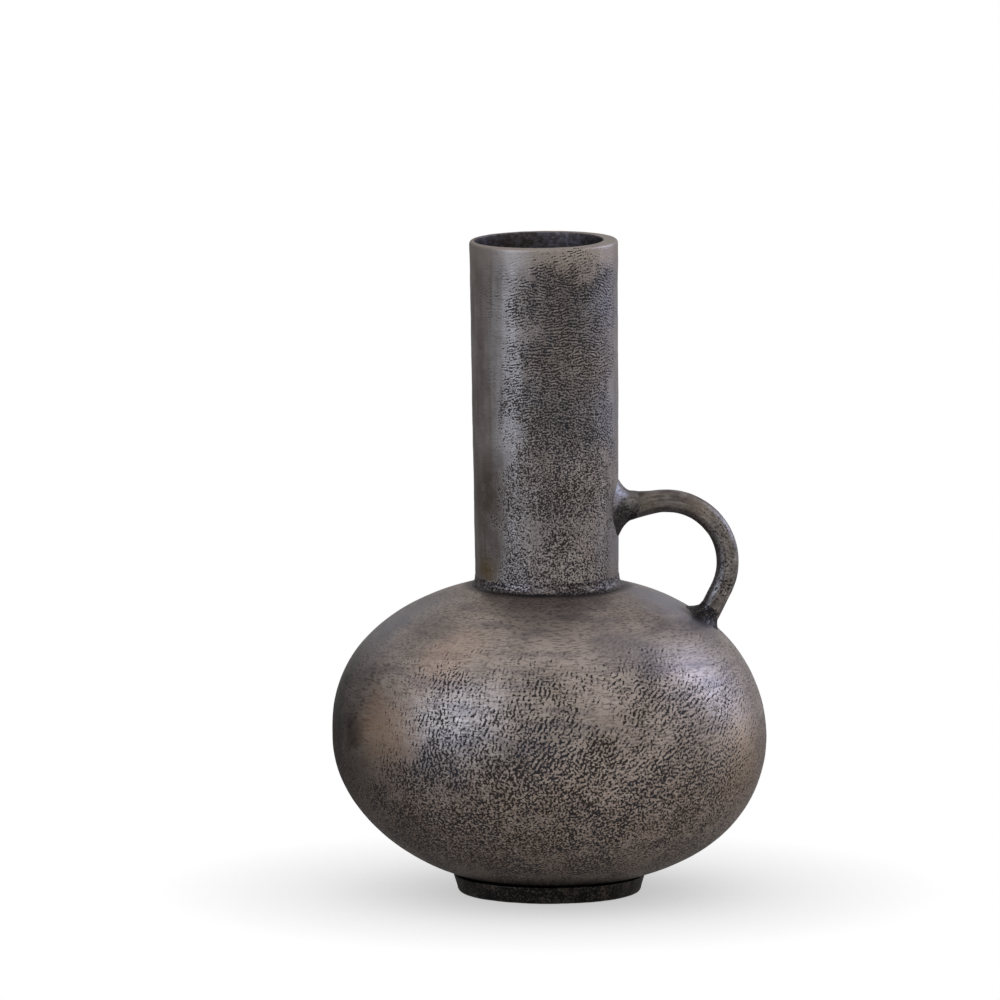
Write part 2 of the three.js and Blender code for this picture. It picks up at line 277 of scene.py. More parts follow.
def evenStops(spread, tones):  # a ramp's stops, from one noise value to another
    low, high = spread
    step = (high - low) / (len(tones) - 1)
    return {"stops": [(low + step * i, linear(tone)) for i, tone in enumerate(tones)]}


def castPatina(look):
    # Sand-cast aluminium, blackened, then rubbed back by hand and waxed: satin taupe metal, dark oxide
    # left in short strokes and worms where the cloth did not reach, rubbing lines, warm stains, and painted
    # shade, highlights and reflections
    material = bpy.data.materials.new(look["name"])
    add = partial(addNode, openShader(material))
    coords = add("ShaderNodeTexCoord").outputs["Object"]
    place = add(vectorMath, "SCALE", {0: coords, "Scale": 1 / mm})
    level = add(vectorMath, "MULTIPLY", {0: place, 1: (1, 1, 0)})
    axes = add("ShaderNodeSeparateXYZ", None, {0: place}).outputs
    normal = add("ShaderNodeNewGeometry").outputs["Normal"]

    # Directions on the surface: round the axis, and uphill
    sideways = add(vectorMath, "CROSS_PRODUCT", {0: up, 1: place})
    around = add(vectorMath, "NORMALIZE", {0: sideways})
    uphill = add(vectorMath, "CROSS_PRODUCT", {0: normal, 1: around})

    # Drifting clouds: one for how the strokes lie, one for how thick they lie, one for colour
    clouds = []
    for number, size in enumerate((look["turnCloud"], look["thickCloud"], look["colourCloud"])):
        shift = Vector(patina["cloudShift"]) * (number + look["seed"])
        shifted = add(vectorMath, "ADD", {0: place, 1: shift})
        clouds.append(add("ShaderNodeTexNoise", None,
                          {"Vector": shifted, "Scale": 1 / size, "Detail": 3.0, "Roughness": 0.6}))
    turnCloud, thickCloud, colourCloud = clouds
    cloudLow, cloudHigh = patina["cloudRange"]

    def spot(middle, reach):  # 1 in the middle of a ragged round spot, 0 past its reach
        away = add(vectorMath, "DISTANCE", {0: place, 1: middle})
        ragged = add(scalarMath, "MULTIPLY_ADD",
                     {0: thickCloud, 1: patina["spotRagged"] * reach, 2: away.outputs["Value"]})
        return add(mapRange, softEnds,
                   {"Value": ragged, "From Min": patina["spotFull"] * reach,
                    "From Max": patina["spotGone"] * reach, "To Min": 1.0, "To Max": 0.0})

    # Strokes of dark oxide that lie along the rubbing, bent by the hand
    low, lowTurn, high, highTurn = look["strokeTurn"]
    lean = add(mapRange, None,
               {"Value": axes["X"], "From Min": low, "From Max": high,
                "To Min": math.radians(lowTurn), "To Max": math.radians(highTurn)})
    sway = math.radians(look["turnWobble"])
    wobble = add(mapRange, None,
                 {"Value": turnCloud, "From Min": cloudLow, "From Max": cloudHigh,
                  "To Min": -sway, "To Max": sway})
    turn = add(scalarMath, "ADD", {0: lean, 1: wobble})
    across = add("ShaderNodeVectorRotate", {"rotation_type": "AXIS_ANGLE"},
                 {"Vector": uphill, "Axis": normal, "Angle": turn})
    bend = add("ShaderNodeTexNoise", None, {"Vector": place, "Scale": 1 / look["bendSize"], "Detail": 1.0})
    bent = add(vectorMath, "MULTIPLY_ADD", {0: bend.outputs["Color"], 1: [look["bendReach"]] * 3, 2: place})
    strokes = add("ShaderNodeTexGabor", {"gabor_type": "3D"},
                  {"Vector": bent, "Scale": 1 / (patina["strokesPerCell"] * look["strokeGap"]),
                   "Frequency": patina["strokesPerCell"], "Anisotropy": look["strokeStretch"],
                   5: across})  # 5 is the way across the strokes, in 3-D

    # Short worms of oxide between the grains of the sand, which take over from the strokes low down
    grain = add("ShaderNodeTexNoise", None,
                {"Vector": place, "Scale": 1 / look["grainSize"], "Detail": 1.5})
    grainLow, grainHigh = patina["grainRange"]
    worms = add(mapRange, None, {"Value": grain, "From Min": grainLow, "From Max": grainHigh})
    wormHeight, wormShare, strokeHeight, strokeShare = look["worms"]
    mostly = add(mapRange, softEnds,
                 {"Value": axes["Z"], "From Min": wormHeight, "From Max": strokeHeight,
                  "To Min": wormShare, "To Max": strokeShare})
    field = add("ShaderNodeMix", {"data_type": "FLOAT"}, {0: mostly, 2: strokes, 3: worms})

    # How thick they lie: by cloud, by height, by side, and in a few patches
    drift = add(mapRange, None,
                {"Value": thickCloud, "From Min": cloudLow, "From Max": cloudHigh,
                 "To Min": -look["ragged"], "To Max": look["ragged"]})
    patchLow, patchHigh = patina["patchRange"]
    density = add(mapRange, None,
                  {"Value": thickCloud, "From Min": patchLow, "From Max": patchHigh,
                   "To Min": 1 - look["patchiness"], "To Max": 1 + look["patchiness"]})
    for axis, amounts in (("Z", look["thickUp"]), ("X", look["thickAcross"])):
        first = amounts[0][0]
        last = amounts[-1][0]
        moved = add(scalarMath, "ADD", {0: axes[axis], 1: drift})
        share = add(mapRange, None, {"Value": moved, "From Min": first, "From Max": last})
        stops = [((at - first) / (last - first), (amount, amount, amount, 1)) for at, amount in amounts]
        ramp = add("ShaderNodeValToRGB", {"stops": stops}, {0: share})
        density = add(scalarMath, "MULTIPLY", {0: density, 1: ramp})
    for middle, reach, amount in look["patches"]:
        density = add(scalarMath, "MULTIPLY_ADD", {0: spot(middle, reach), 1: amount, 2: density})
    limit = add(mapRange, None,
                {"Value": density, "To Min": look["sparseLimit"], "To Max": look["denseLimit"]})
    over = add(scalarMath, "SUBTRACT", {0: field, 1: limit})
    oxide = add(mapRange, softEnds,
                {"Value": over, "From Min": -look["strokeEdge"], "From Max": look["strokeEdge"],
                 "To Max": look["strokeStrength"]})
    ridgeNear, ridgeFar = patina["ridgeRange"]
    ridge = add(mapRange, softEnds,
                {"Value": over, "From Min": ridgeNear, "From Max": ridgeFar,
                 "To Max": look["ridgeStrength"]})
    ridges = add(scalarMath, {"operation": "MULTIPLY", "use_clamp": True}, {0: ridge, 1: density})

    # Coordinates of the rubbing streaks, which follow the shape of the casting
    along = place
    if look["bentRound"]:  # a bent rod: away from its middle, sideways, and how far round
        middle, reach = look["bentRound"]
        fromMiddle = add(vectorMath, "SUBTRACT", {0: place, 1: middle})
        inPlane = add(vectorMath, "MULTIPLY", {0: fromMiddle, 1: (1, 0, 1)})
        away = add(vectorMath, "LENGTH", {0: inPlane})
        sides = add("ShaderNodeSeparateXYZ", None, {0: fromMiddle}).outputs
        angle = add(scalarMath, "ARCTAN2", {0: sides["Z"], 1: sides["X"]})
        farRound = add(scalarMath, "MULTIPLY", {0: angle, 1: reach})
        along = add("ShaderNodeCombineXYZ", None,
                    {"X": away.outputs["Value"], "Y": sides["Y"], "Z": farRound})
    elif look["turnedRound"]:  # a turned casting: round its axis, and along its profile
        reach, middleHeight = look["turnedRound"]
        away = add(vectorMath, "LENGTH", {0: level})
        aim = add(vectorMath, "NORMALIZE", {0: level})
        farRound = add(vectorMath, "SCALE", {0: aim, "Scale": reach})
        sides = add("ShaderNodeSeparateXYZ", None, {0: farRound}).outputs
        fromEquator = add(scalarMath, "SUBTRACT", {0: axes["Z"], 1: middleHeight})
        climb = add(scalarMath, "ABSOLUTE", {0: fromEquator})
        onSlope = add(scalarMath, "SUBTRACT", {0: climb, 1: away.outputs["Value"]})
        along = add("ShaderNodeCombineXYZ", None, {"X": sides["X"], "Y": sides["Y"], "Z": onSlope})

    # Colour in layers over clouds of taupe: streaks, stains and painted light and shade, bands of painted
    # light and shade by height, ridges, oxide, and painted shade on faces that look inward
    layers = []
    for size, start, end, tone, strength in look["streaks"]:
        stretched = add(vectorMath, "MULTIPLY", {0: along, 1: [1 / length for length in size]})
        lines = add("ShaderNodeTexNoise", None, {"Vector": stretched, "Scale": 1.0, "Detail": 2.0})
        streak = add(mapRange, softEnds,
                     {"Value": lines, "From Min": start, "From Max": end, "To Max": strength})
        layers.append((streak, linear(tone)))
    # Stains: some are the metal's own colour, others are painted shade, painted highlights and painted
    # reflections
    for middle, reach, tone, strength in look["stainsAndPaintedLight"]:
        mark = add(scalarMath, "MULTIPLY", {0: spot(middle, reach), 1: strength})
        layers.append((mark, linear(tone)))
    # Bands by height of painted shade, and on the neck one of painted highlight under the lip
    for start, end, tone, strength in look["paintedLightAndShadeBands"]:
        paintedBand = add(mapRange, softEnds,
                    {"Value": axes["Z"], "From Min": start, "From Max": end, "To Max": strength})
        layers.append((paintedBand, linear(tone)))
    layers.append((ridges, linear(look["ridgeTone"])))
    oxideStops = evenStops(patina["oxideRange"], look["oxides"])
    layers.append((oxide, add("ShaderNodeValToRGB", oxideStops, {0: turnCloud})))
    # Painted shade: faces that look in towards the axis, inside the bore, the bowl and the foot ring, are
    # darkened
    outward = add(vectorMath, "DOT_PRODUCT", {0: normal, 1: level})
    facingNear, facingFar = patina["facingIn"]
    hollow = add(mapRange, softEnds,
                 {"Value": outward.outputs["Value"], "From Min": facingNear, "From Max": facingFar,
                  "To Max": look["hollowStrength"]})
    hollowStops = evenStops(patina["hollowRange"], look["hollow"])
    layers.append((hollow, add("ShaderNodeValToRGB", hollowStops, {0: bend})))
    toneStops = evenStops(patina["toneRange"], look["tones"])
    colour = add("ShaderNodeValToRGB", toneStops, {0: colourCloud})
    for share, tone in layers:
        mixed = add("ShaderNodeMix", {"data_type": "RGBA"}, {0: share, 6: colour, 7: tone})
        colour = mixed.outputs[2]

    # Bare metal is satin, oxide is dull and lies a little lower
    gloss = add(mapRange, None,
                {"Value": oxide, "To Min": look["roughness"], "To Max": look["oxideRoughness"]})
    bare = add(mapRange, None,
               {"Value": oxide, "To Min": look["metallic"], "To Max": look["oxideMetallic"]})
    raised = add(scalarMath, "MULTIPLY_ADD", {0: grain, 1: look["grainRelief"], 2: ridges})
    height = add(scalarMath, "SUBTRACT", {0: raised, 1: oxide})
    bump = add("ShaderNodeBump", None,
               {"Strength": look["bumpStrength"], "Distance": look["bumpDepth"] * mm, "Height": height})
    shader = add("ShaderNodeBsdfPrincipled", None,
                 {"Base Color": colour, "Metallic": bare, "Roughness": gloss, "Normal": bump,
                  "Coat Weight": look["wax"], "Coat Roughness": patina["waxRoughness"],
                  "Specular IOR Level": patina["specular"], "Specular Tint": linear(look["edgeTone"])})
    add("ShaderNodeOutputMaterial", None, {"Surface": shader})
    return material


# In a look, strokeTurn is x, degrees, x, degrees; worms is height, share, height, share; thickUp and
# thickAcross are heights or sides with how thick the oxide is; patches are a middle, a reach and an amount;
# streaks are a size, two noise values, a tone and a strength; stains, among them painted shade, painted
# highlights and painted reflections, are a middle, a reach, a tone and a strength; bands by height of
# painted shade and painted highlight are two heights, a tone and a strength. Sand grains are drawn about
# twice their real size, so that they show

# Body: satin taupe, with dark strokes that lean with the rubbing hand and fine lines round the shoulder
bodyLook = {
    "name": "sandCastAluminiumRubbedPatina", "seed": 1,
    "turnCloud": 24, "thickCloud": 22, "colourCloud": 30,
    "strokeTurn": (-70, 64, 70, 12), "turnWobble": 20, "strokeGap": 2.2, "strokeStretch": 0.73,
    "bendSize": 3, "bendReach": 2.1, "bentRound": None, "turnedRound": (85, 79.3),
    "grainSize": 1.05, "worms": (42, 0.8, 92, 0.34),
    "thickUp": ((0, 0.4), (12, 0.6), (22, 0.88), (40, 0.96), (70, 1.0), (92, 0.94), (108, 0.86),
                (116, 0.76), (126, 0.62), (134, 0.36), (143, 0.12), (161, 0.0)),
    "thickAcross": ((-110, 0.5), (-92, 0.7), (-76, 0.95), (0, 1.0), (66, 1.0), (80, 0.93), (96, 0.78),
                    (110, 0.5)),
    "ragged": 9, "patchiness": 0.22,
    "patches": (
        ((-3, -96, 120), 14, 0.2),
        ((48, -80, 122), 20, 0.22),
        ((-48, -82, 120), 18, 0.25),
        ((-27, -96, 114), 13, -0.35),
        ((23, -101, 106), 19, -0.4),
        ((36, -102, 98), 14, -0.25),
        ((-62, -78, 46), 24, 0.25),
        ((-92, -62, 92), 44, -0.8),
        ((79, -76, 92), 20, -0.2),
        ((50, -88, 48), 30, -0.22),
        ((-2, -106, 91), 20, 0.1),
        ((80, -58, 126), 18, -0.6),
        ((-80, -50, 118), 18, -0.4),
    ),
    "sparseLimit": 0.88, "denseLimit": 0.49, "strokeEdge": 0.04, "strokeStrength": 0.94,
    "ridgeStrength": 0.6, "ridgeTone": "#b0a7a1",
    "tones": ("#7f736a", "#93867d", "#a0938a"),
    "streaks": (
        ((3.2, 3.2, 1.1), 0.45, 0.67, "#413834", 0.74),
        ((9, 9, 1.1), 0.53, 0.73, "#aba09a", 0.42),
        ((30, 30, 9), 0.46, 0.7, "#585154", 0.5),
    ),
    "stainsAndPaintedLight": (
        # Ochre stain, made lighter as a painted highlight where the left lamp's light begins
        ((-83, -70, 90), 34, "#ab896c", 0.7),
        ((-52, -72, 128), 30, "#a58672", 0.4),
        # Painted shade down the left side of the body
        ((-111, -12, 101), 62, "#17100c", 0.9),
        ((-111, -12, 69), 62, "#17100c", 0.9),
        # Painted highlight: a lighter band near the right edge
        ((97, -50, 90), 25, "#b5a396", 0.65),
        ((98, -46, 67), 40, "#8c735c", 0.55),
        # Painted reflections: bluish grey on the left and right of the shoulder
        ((-74, -14, 138), 44, "#85848c", 0.65),
        ((58, -10, 150), 36, "#8d8b96", 0.85),
        ((-55, -52, 141), 20, "#5a5350", 0.55),
        ((-67, -50, 134), 20, "#5a5350", 0.5),
        ((30, -76, 138), 22, "#5d5658", 0.62),
        ((48, -72, 132), 20, "#544e50", 0.55),
        ((2, -108, 91), 22, "#655c57", 0.3),
        # Painted shade in the crease where the handle comes down on the shoulder
        ((73, -12, 141.5), 12, "#242022", 0.9),
        # Painted shade low on the left of the bowl
        ((-88, -52, 40), 56, "#261f1b", 0.8),
    ),
    "paintedLightAndShadeBands": (
        # Painted shade of the underside: darker and warmer towards the bottom, darkest next to the foot
        (97, 41, "#7d6a5b", 0.55),
        (37, 9, "#50402f", 0.75),
        (18, 9.5, "#15110e", 0.75),
        # Painted shade with dark oxide, from the crevice under the neck weld upward
        (155.4, 156.6, "#29262a", 0.8),
    ),
    # After the oxides come the tones and the strength of the painted shade on faces that look inward
    "oxides": ("#191a21", "#1f1712"), "hollow": ("#262226", "#57515a"), "hollowStrength": 0.8,
    "roughness": 0.42, "oxideRoughness": 0.6, "metallic": 0.9, "oxideMetallic": 0.5,
    "wax": 0.1, "edgeTone": "#bcbaba", "grainRelief": 0.5, "bumpStrength": 0.5, "bumpDepth": 0.12,
}

# Neck: the same metal, wrinkled by the mould, with closer and more level strokes and upright rubbing lines
neckLook = bodyLook | {
    "name": "sandCastAluminiumWrinkledPatina", "seed": 2,
    "thickCloud": 16, "colourCloud": 22,
    "strokeTurn": (-20, 6, 30, -4), "turnWobble": 10, "strokeGap": 1.45, "strokeStretch": 0.9,
    "strokeStrength": 0.91, "bendSize": 2.4, "bendReach": 1.5, "turnedRound": (37, 0),
    "grainSize": 0.85, "worms": (190, 0.75, 285, 0.3),
    "thickUp": ((150, 0.85), (176, 0.85), (200, 0.97), (260, 1.0), (315, 0.97), (325, 0.3), (336, 0.1)),
    "thickAcross": ((-40, 0.0), (-31, 0.02), (-24, 0.6), (-16, 0.84), (-6, 1.0), (24, 1.0), (30, 0.85),
                    (34, 0.4), (40, 0.05)),
    "ragged": 7, "patchiness": 0.13,
    "patches": (
        ((1, -36, 326), 19, 0.52),
        ((20, -31, 326), 21, 0.55),
        ((-28, -24, 302), 24, 0.42),
        ((-13, -35, 298), 15, -0.08),
        ((-19, -32, 254), 24, 0.3),
        ((21, -31, 190), 22, -0.42),
        ((-14, -34, 188), 20, -0.32),
    ),
    "tones": ("#716862", "#817771", "#8d857f"), "ridgeTone": "#b2a9a4",
    "streaks": (
        ((4, 4, 50), 0.45, 0.7, "#5c5049", 0.45),
        ((6, 6, 90), 0.5, 0.72, "#9d9692", 0.4),
        ((5, 5, 0.7), 0.52, 0.75, "#453d3a", 0.4),
    ),
    "stainsAndPaintedLight": (
        ((-32, -20, 167), 13, "#6b5630", 0.8),
        ((-30, -22, 205), 30, "#4a3a2d", 0.72),
        ((-24, -28, 178), 20, "#4a3a2d", 0.55),
        # Painted shade down the front of the neck
        ((14, -35, 300), 34, "#4b4749", 0.6),
        ((9, -36, 246), 36, "#4b4749", 0.6),
        ((6, -36, 196), 32, "#4b4749", 0.6),
        # Painted reflection: a bluish tint down the right of the neck
        ((34, -16, 300), 34, "#77767f", 0.6),
        ((34, -16, 245), 34, "#77767f", 0.6),
        ((35, -10, 180), 32, "#73727b", 0.65),
        # Painted reflection: bluish grey on the flat top of the lip, at the right
        ((34, 2, 333), 15, "#77757c", 0.75),
        ((-16, 34, 332), 26, "#2b2729", 0.9),
        ((14, 33, 332), 22, "#2b2729", 0.9),
        ((-39, 4, 332), 12, "#2b2729", 0.8),
    ),
    # Painted highlight: lighter from just under the lip up to the rim
    "paintedLightAndShadeBands": ((319, 328, "#92867d", 0.7),),
    "roughness": 0.46, "edgeTone": "#cbcaca", "bumpStrength": 0.7, "bumpDepth": 0.2,
}

# Welds: filler metal left rough and oxidised, nearly black, with light specks where a brush has passed
weldLook = bodyLook | {
    "name": "weldMetalDarkOxide", "seed": 3, "colourCloud": 5,
    "strokeGap": 1.3, "strokeStretch": 0.1, "strokeStrength": 1.0, "turnedRound": None,
    "worms": (0, 0.6, 340, 0.6),
    "thickUp": ((0, 0.8), (340, 0.8)), "thickAcross": ((-110, 1.0), (110, 1.0)),
    "tones": ("#3e3837", "#544d4c", "#6f6a69"),
    # Painted shade with dark oxide, below the toe of the neck weld in its crevice
    "patches": (), "stainsAndPaintedLight": (), "paintedLightAndShadeBands": ((158.2, 156.4, "#242126", 0.85),),
    "hollowStrength": 0.0, "roughness": 0.45, "bumpStrength": 0.7, "bumpDepth": 0.2,
}

# Collars of the handle: filler metal smoothed with a file, mid grey on top, with painted shade beneath
collarLook = weldLook | {
    "name": "weldMetalSmoothedOxide", "seed": 6, "colourCloud": 8,
    "thickUp": ((130, 0.7), (188, 0.75), (197, 0.35), (203, 0.1), (210, 0.1)),
    "tones": ("#5e5a5b", "#74706f", "#8b8789"), "ridgeStrength": 0.25,
    "stainsAndPaintedLight": (
        # Painted shade in the crease between the collar and the neck
        ((37, -9, 196.5), 7, "#151213", 0.9),
        ((46, -6, 200), 8, "#4a433f", 0.7),
        # Painted shade where the handle's foot meets the shoulder
        ((75, -8, 142), 18, "#1d1a1b", 0.9),
    ),
    # Painted shade on the collars below the rod
    "paintedLightAndShadeBands": ((200, 195, "#201c1e", 0.93),),
    "roughness": 0.4, "bumpStrength": 0.5,
}

# Foot: blackened and not rubbed back, nearly black with faint brown clouds
footLook = bodyLook | {
    "name": "sandCastAluminiumBlackPatina", "seed": 4, "colourCloud": 6,
    "strokeStrength": 1.0, "turnedRound": (47, 0),
    "thickUp": ((0, 0.8), (10, 0.8)), "thickAcross": ((-110, 1.0), (110, 1.0)),
    "tones": ("#0c0a09", "#1e1a17", "#4a4038"), "oxides": ("#080808", "#0b0908"), "ridgeTone": "#5a5049",
    "streaks": (((9, 9, 1.3), 0.5, 0.7, "#453e39", 0.5),),
    "patches": (), "stainsAndPaintedLight": (), "paintedLightAndShadeBands": (),
    "roughness": 0.5, "metallic": 0.8,
}

# Handle: a rod rubbed most where fingers hold it, with lines along the rod, a light crest, and painted shade
# with dark oxide towards the inside of the loop
handleLook = bodyLook | {
    "name": "bentRodRubbedPatina", "seed": 5, "thickCloud": 9, "colourCloud": 7,
    "strokeGap": 1.5, "strokeStretch": 0.2, "strokeStrength": 1.0, "worms": (0, 0.6, 340, 0.6),
    "bentRound": ((59, 0, 167.5), 31),
    "thickUp": ((130, 0.7), (142, 0.45), (165, 0.45), (182, 0.5), (192, 0.4), (200, 0.12), (210, 0.08)),
    "thickAcross": ((30, 0.9), (60, 0.75), (100, 1.0)),
    "ragged": 4, "patchiness": 0.7, "patches": (),
    "tones": ("#4c4441", "#706863", "#908985"),
    "streaks": (
        ((1.4, 1.4, 18), 0.44, 0.66, "#3d332d", 0.65),
        ((1.6, 1.6, 24), 0.52, 0.72, "#a39a95", 0.5),
    ),
    "stainsAndPaintedLight": (
        ((50, -5, 196), 13, "#5f5138", 0.4),
        ((76, -5, 196), 14, "#75654f", 0.4),
        # Painted shade with dark oxide, darkest towards the middle of the loop
        ((59, 0, 167.5), 52, "#211c1a", 0.95),
        ((43, -4, 200), 13, "#2f2720", 0.7),
    ),
    "paintedLightAndShadeBands": (), "hollowStrength": 0.0, "edgeTone": "#d0d0d6", "bumpStrength": 0.3,
}
bodyMetal = castPatina(bodyLook)
neckMetal = castPatina(neckLook)
weldMetal = castPatina(weldLook)
collarMetal = castPatina(collarLook)
footMetal = castPatina(footLook)
handleMetal = castPatina(handleLook)
print("materials made")

# Round body: two superellipse halves in one shell, rings a little to one side as the hand left them
body = {
    "radius": 110, "clearance": 4.3, "wall": 4, "openingRadius": 34.2,
    "rise": 81.5, "risePower": 2.23, "riseSpread": 2.18, "riseDrift": -1.4, "riseDriftPower": 1.25,
    "drop": 75, "dropPower": 1.96, "dropSpread": 2.34, "dropDrift": 2, "dropDriftPower": 2,
    "sides": 384, "outerRings": 96, "innerRings": 20,
    "waveDepth": 0.9, "waveSize": 45, "lumpDepth": 0.16, "lumpSize": 7,
}
equator = body["clearance"] + body["drop"]


def heightOnBody(r, half, inset=0):  # height over the floor at a radius, on the upper or lower half
    share = min(1, r / (body["radius"] - inset))
    away = (body[half] - inset) * (1 - share ** body[half + "Spread"]) ** (1 / body[half + "Power"])
    return equator + away if half == "rise" else equator - away


def driftOnBody(z):  # how far the ring at a height lies to one side
    half = "rise" if z > equator else "drop"
    share = min(1, abs(z - equator) / body[half])
    return body[half + "Drift"] * math.sin(math.pi * share ** body[half + "DriftPower"])


def halfProfile(half, inset, rings, fromRadius):  # from the pole or the opening out to the equator
    reach = body["radius"] - inset
    start = math.asin(fromRadius / reach)
    points = []
    for i in range(rings + 1):
        r = reach * math.sin(start + (math.pi / 2 - start) * i / rings)
        z = heightOnBody(r, half, inset)
        points.append((r, driftOnBody(z), z))
    return points


outside = halfProfile("drop", 0, body["outerRings"], 0)
outside += halfProfile("rise", 0, body["outerRings"], body["openingRadius"])[-2::-1]
inside = halfProfile("rise", body["wall"], body["innerRings"], body["openingRadius"])
inside += halfProfile("drop", body["wall"], body["innerRings"], 0)[-2::-1]
makePiece("roundBody", linePoints("bodyProfile", outside + inside), turnedTree,
          {"Sides": body["sides"], "Material": bodyMetal} | reliefOf(body, 0.0),
          ("lower_bowl", "upper_dome"))

# Weld that joins the two halves, a low bead inside the equator
girth = {
    "beadRadius": 1.6, "points": 180, "step": 1.2, "sides": 12, "rippleSpacing": 4, "rippleDepth": 0.3,
    "waveDepth": 0, "waveSize": 30, "lumpDepth": 0.3, "lumpSize": 4,
}
weldBead("girthWeld", girth, body["radius"] - body["wall"], equator, weldMetal, 0.3, "girth_weld")

# Tall neck: a thick cast tube that leans a little, its bore off the middle, its lip rounded
neck = {
    "rootRadius": 36.3, "rimRadius": 37.6, "rimHeight": 332.3, "rootOffset": -1.2, "lean": 0.6,
    "boreMouthRadius": 32.4, "boreRootRadius": 31, "boreOffset": -2.5,
    "lipRound": 1.7, "mouthRound": 0.7, "through": 4,
    "sides": 300, "outerRings": 190, "lipRings": 6, "boreRings": 60,
    "waveDepth": 0.7, "waveSize": 28, "lumpDepth": 0.22, "lumpSize": 4.5,
}
lean = math.radians(neck["lean"])
neckRoot = heightOnBody(neck["rootRadius"], "rise")
neckLength = (neck["rimHeight"] - neckRoot) / math.cos(lean)
neckFrame = Matrix.Translation((neck["rootOffset"] * mm, 0, neckRoot * mm)) @ Matrix.Rotation(-lean, 4, "Y")


def neckProfile():
    lip = neck["lipRound"]
    mouth = neck["mouthRound"]
    shoulder = neckLength - lip
    taper = (neck["rimRadius"] - neck["rootRadius"]) / shoulder
    points = []
    for i in range(neck["outerRings"]):
        z = -neck["through"] + (shoulder + neck["through"]) * i / neck["outerRings"]
        points.append((neck["rootRadius"] + taper * max(0, z), 0, z))
    for i in range(neck["lipRings"] + 1):  # outer edge of the lip
        angle = math.pi / 2 * i / neck["lipRings"]
        points.append((neck["rimRadius"] - lip + lip * math.cos(angle), 0, shoulder + lip * math.sin(angle)))
    for i in range(neck["lipRings"] + 1):  # inner edge, round the bore's own middle
        angle = math.pi / 2 * (1 + i / neck["lipRings"])
        points.append((neck["boreMouthRadius"] + mouth + mouth * math.cos(angle), neck["boreOffset"],
                       neckLength - mouth + mouth * math.sin(angle)))
    draft = (neck["boreMouthRadius"] - neck["boreRootRadius"]) / (neckLength - mouth)
    for i in range(1, neck["boreRings"] + 1):
        z = neckLength - mouth - (neckLength - mouth + neck["through"]) * i / neck["boreRings"]
        points.append((neck["boreRootRadius"] + draft * max(0, z), neck["boreOffset"], z))
    points.append(points[0])
    return points


makePiece("tallNeck", linePoints("neckProfile", neckProfile()), turnedTree,
          {"Sides": neck["sides"], "Material": neckMetal} | reliefOf(neck, 1.7),
          ("neck_tube",), neckFrame)

# Weld round the root of the neck: a hollow fillet, rough, and wider at the front
neckWeld = {
    "leg": 2.7, "rise": 4.6, "frontShift": 1.6, "toeLift": 0.1, "toeDepth": 1, "skin": 0.3, "buried": 2,
    "sides": 300, "steps": 14, "waveDepth": 0.7, "waveSize": 12, "lumpDepth": 0.7, "lumpSize": 3,
}


def neckWeldProfile():  # a ring's sideways shift points to the front once the weld is turned into place
    root = neck["rootRadius"]
    leg = neckWeld["leg"]
    front = neckWeld["frontShift"]
    rise = neckWeld["rise"]
    inner = root - neckWeld["buried"]
    toe = heightOnBody(root + leg + front, "rise") - neckRoot + neckWeld["toeLift"]
    points = [(inner, 0, toe - neckWeld["buried"]), (root + leg, front, toe - neckWeld["toeDepth"])]
    for i in range(neckWeld["steps"] + 1):
        angle = math.pi / 2 * i / neckWeld["steps"]
        spread = 1 - math.sin(angle)
        points.append((root + neckWeld["skin"] + leg * spread, front * spread,
                       toe + (rise - toe) * (1 - math.cos(angle))))
    points.append((inner, 0, rise))
    points.append(points[0])
    return points


makePiece("neckWeld", linePoints("neckWeldProfile", neckWeldProfile()), turnedTree,
          {"Sides": neckWeld["sides"], "Material": weldMetal} | reliefOf(neckWeld, 2.9),
          ("neck_weld",), neckFrame @ Matrix.Rotation(-math.pi / 2, 4, "Z"))

# Foot ring: a low dark ring with a rounded lower edge
foot = {
    "topRadius": 48.5, "bottomRadius": 46.6, "height": 8.8, "wall": 6,
    "edgeRound": 2.4, "chamfer": 1, "lift": 0.1, "topEdge": 1, "crown": 0.4,
    "sides": 300, "steps": 10, "waveDepth": 0.5, "waveSize": 25, "lumpDepth": 0.2, "lumpSize": 4,
}
footInner = foot["bottomRadius"] - foot["wall"]


def footProfile():
    edge = foot["edgeRound"]
    crown = foot["height"] + foot["crown"]
    points = [(footInner, 0, foot["chamfer"]), (footInner + foot["chamfer"], 0, foot["lift"])]
    for i in range(foot["steps"] + 1):
        angle = math.pi / 2 * (i / foot["steps"] - 1)
        points.append((foot["bottomRadius"] - edge + edge * math.cos(angle), 0,
                       edge + foot["lift"] + edge * math.sin(angle)))
    low = Vector(points[-1])
    high = Vector((foot["topRadius"], 0, foot["height"]))
    for i in range(1, foot["steps"] + 1):
        points.append(tuple(low.lerp(high, i / foot["steps"])))
    points.append((foot["topRadius"] - foot["topEdge"], 0, crown))
    points.append((footInner, 0, crown))
    points.append(points[0])
    return points


makePiece("footRing", linePoints("footProfile", footProfile()), turnedTree,
          {"Sides": foot["sides"], "Material": footMetal} | reliefOf(foot, 4.1),
          ("foot_ring",))

# Weld inside the foot, in the corner between the ring and the bowl
footWeld = {
    "beadRadius": 2.2, "cornerGap": 0.6, "points": 120, "step": 0.8, "sides": 14,
    "rippleSpacing": 3.5, "rippleDepth": 0.4,
    "waveDepth": 0, "waveSize": 30, "lumpDepth": 0.4, "lumpSize": 3,
}
weldBead("footWeld", footWeld, footInner - footWeld["cornerGap"],
         heightOnBody(footInner, "drop") - footWeld["cornerGap"], footMetal, 5.3, "foot_weld")

